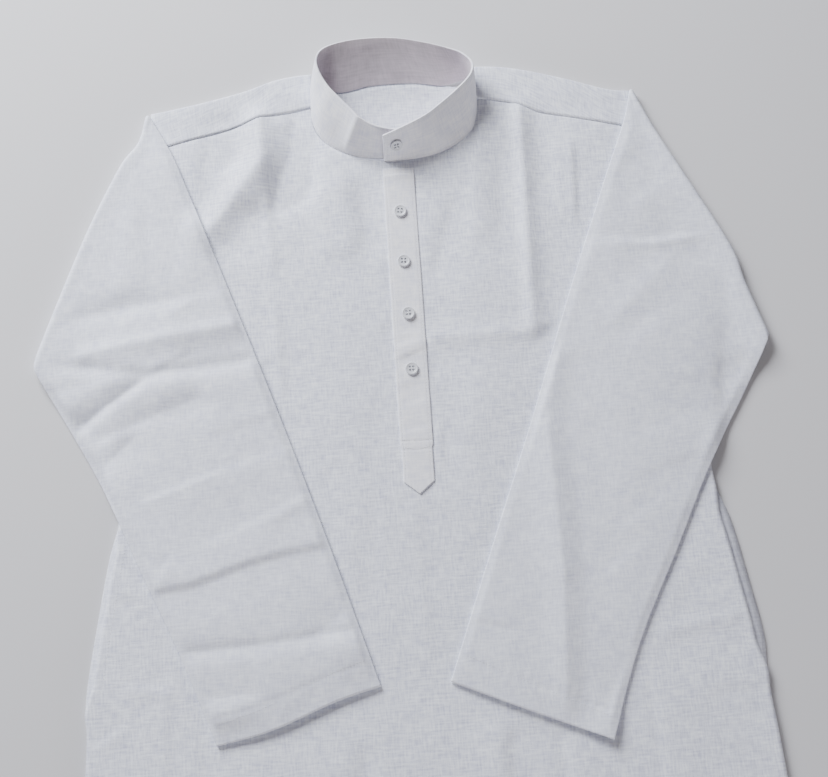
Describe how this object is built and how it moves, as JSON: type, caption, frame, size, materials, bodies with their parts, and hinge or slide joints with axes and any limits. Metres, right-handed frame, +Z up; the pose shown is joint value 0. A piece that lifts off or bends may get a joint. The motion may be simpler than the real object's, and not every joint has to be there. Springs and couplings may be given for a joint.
{
  "type": "kurta",
  "caption": "Long band-collar kurta laid flat face up: sleeves folded over the front, half placket with a pointed tab, side seam pockets, side slits and a straight hem.",
  "frame": {"origin": "middle of the box round the laid garment, on the surface it lies on", "axes": "+X towards the wearer's left side, +Y towards the collar, +Z up from the surface"},
  "size_m": [0.6728, 1.0314, 0.0368],
  "materials": {
    "cotton": "matt slub cotton, cool white",
    "button": "satin, four holes and a raised rim"
  },
  "bodies": {
    "root": {"back": "cotton", "front": "cotton", "yoke": "cotton", "collar": "cotton", "placket_over": "cotton", "placket_under": "cotton", "pocket_right": "cotton", "pocket_left": "cotton", "sleeve_right": "cotton", "sleeve_left": "cotton", "button_collar": "button", "button_1": "button", "button_2": "button", "button_3": "button", "button_4": "button"}
  },
  "joints": []
}
